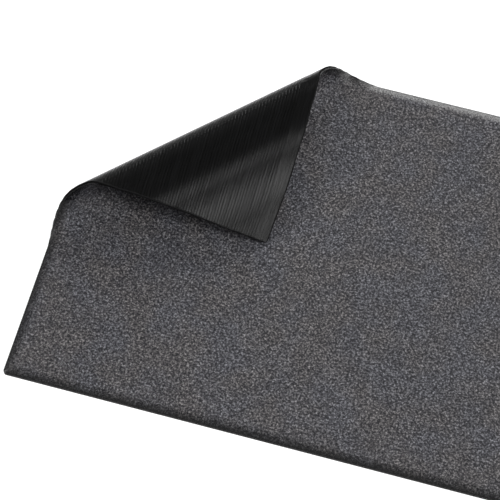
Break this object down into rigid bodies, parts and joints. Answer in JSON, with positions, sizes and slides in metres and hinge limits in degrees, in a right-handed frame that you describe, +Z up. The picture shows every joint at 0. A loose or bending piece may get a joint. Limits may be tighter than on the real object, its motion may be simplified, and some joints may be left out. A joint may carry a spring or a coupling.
{
  "type": "floor exercise mat",
  "caption": "Flexible rectangular gym floor mat with a pebbled wear surface, rolled edges and a ribbed rubber underside, with a corner turned back that unrolls flat.",
  "frame": {"origin": "on the floor at the middle of the flat mat's rectangle, at the level of the rib tips", "axes": "+X along the long side, +Y along the short side, +Z up through the mat. The turned corner is the one at -X, +Y"},
  "size_m": [0.9181, 0.6133, 0.0897],
  "materials": {
    "wear_skin": "pebbled, speckled grey",
    "foam_core": "closed-cell foam, matt",
    "ribbed_backing": "ribbed, satin black"
  },
  "bodies": {
    "panel": {"panel_skin": "wear_skin", "panel_core": "foam_core", "panel_backing": "ribbed_backing"},
    "strip_01": {"strip_01_skin": "wear_skin", "strip_01_core": "foam_core", "strip_01_backing": "ribbed_backing"},
    "strip_02": {"strip_02_skin": "wear_skin", "strip_02_core": "foam_core", "strip_02_backing": "ribbed_backing"},
    "strip_03": {"strip_03_skin": "wear_skin", "strip_03_core": "foam_core", "strip_03_backing": "ribbed_backing"},
    "strip_04": {"strip_04_skin": "wear_skin", "strip_04_core": "foam_core", "strip_04_backing": "ribbed_backing"},
    "strip_05": {"strip_05_skin": "wear_skin", "strip_05_core": "foam_core", "strip_05_backing": "ribbed_backing"},
    "strip_06": {"strip_06_skin": "wear_skin", "strip_06_core": "foam_core", "strip_06_backing": "ribbed_backing"},
    "strip_07": {"strip_07_skin": "wear_skin", "strip_07_core": "foam_core", "strip_07_backing": "ribbed_backing"},
    "strip_08": {"strip_08_skin": "wear_skin", "strip_08_core": "foam_core", "strip_08_backing": "ribbed_backing"},
    "strip_09": {"strip_09_skin": "wear_skin", "strip_09_core": "foam_core", "strip_09_backing": "ribbed_backing"},
    "strip_10": {"strip_10_skin": "wear_skin", "strip_10_core": "foam_core", "strip_10_backing": "ribbed_backing"},
    "strip_11": {"strip_11_skin": "wear_skin", "strip_11_core": "foam_core", "strip_11_backing": "ribbed_backing"},
    "strip_12": {"strip_12_skin": "wear_skin", "strip_12_core": "foam_core", "strip_12_backing": "ribbed_backing"},
    "strip_13": {"strip_13_skin": "wear_skin", "strip_13_core": "foam_core", "strip_13_backing": "ribbed_backing"},
    "corner": {"corner_skin": "wear_skin", "corner_core": "foam_core", "corner_backing": "ribbed_backing"}
  },
  "joints": [
    {"name": "fold_01", "type": "hinge", "parent": "panel", "child": "strip_01", "pos_m": [-0.26172, 0.10932, 0.0095], "axis": [-0.7071, -0.7071, 0], "range_deg": [0, 15.55]},
    {"name": "fold_02", "type": "hinge", "parent": "strip_01", "child": "strip_02", "pos_m": [-0.26813, 0.11573, 0.01202], "axis": [-0.7071, -0.7071, 0], "range_deg": [0, 15.55]},
    {"name": "fold_03", "type": "hinge", "parent": "strip_02", "child": "strip_03", "pos_m": [-0.27382, 0.12142, 0.01688], "axis": [-0.7071, -0.7071, 0], "range_deg": [0, 15.55]},
    {"name": "fold_04", "type": "hinge", "parent": "strip_03", "child": "strip_04", "pos_m": [-0.27838, 0.12598, 0.02372], "axis": [-0.7071, -0.7071, 0], "range_deg": [0, 15.55]},
    {"name": "fold_05", "type": "hinge", "parent": "strip_04", "child": "strip_05", "pos_m": [-0.28147, 0.12907, 0.03203], "axis": [-0.7071, -0.7071, 0], "range_deg": [0, 15.55]},
    {"name": "fold_06", "type": "hinge", "parent": "strip_05", "child": "strip_06", "pos_m": [-0.28288, 0.13048, 0.04122], "axis": [-0.7071, -0.7071, 0], "range_deg": [0, 15.55]},
    {"name": "fold_07", "type": "hinge", "parent": "strip_06", "child": "strip_07", "pos_m": [-0.28249, 0.13009, 0.0506], "axis": [-0.7071, -0.7071, 0], "range_deg": [0, 15.55]},
    {"name": "fold_08", "type": "hinge", "parent": "strip_07", "child": "strip_08", "pos_m": [-0.27947, 0.12707, 0.06309], "axis": [-0.7071, -0.7071, 0], "range_deg": [0, 15.55]},
    {"name": "fold_09", "type": "hinge", "parent": "strip_08", "child": "strip_09", "pos_m": [-0.27419, 0.12179, 0.07398], "axis": [-0.7071, -0.7071, 0], "range_deg": [0, 15.55]},
    {"name": "fold_10", "type": "hinge", "parent": "strip_09", "child": "strip_10", "pos_m": [-0.27159, 0.11919, 0.07706], "axis": [-0.7071, -0.7071, 0], "range_deg": [0, 15.55]},
    {"name": "fold_11", "type": "hinge", "parent": "strip_10", "child": "strip_11", "pos_m": [-0.2685, 0.1161, 0.07905], "axis": [-0.7071, -0.7071, 0], "range_deg": [0, 15.55]},
    {"name": "fold_12", "type": "hinge", "parent": "strip_11", "child": "strip_12", "pos_m": [-0.26291, 0.11051, 0.08028], "axis": [-0.7071, -0.7071, 0], "range_deg": [0, 15.55]},
    {"name": "fold_13", "type": "hinge", "parent": "strip_12", "child": "strip_13", "pos_m": [-0.23692, 0.08452, 0.07597], "axis": [-0.7071, -0.7071, 0], "range_deg": [0, 15.55]},
    {"name": "fold_14", "type": "hinge", "parent": "strip_13", "child": "corner", "pos_m": [-0.197, 0.0446, 0.05288], "axis": [-0.7071, -0.7071, 0], "range_deg": [0, 15.55]}
  ]
}
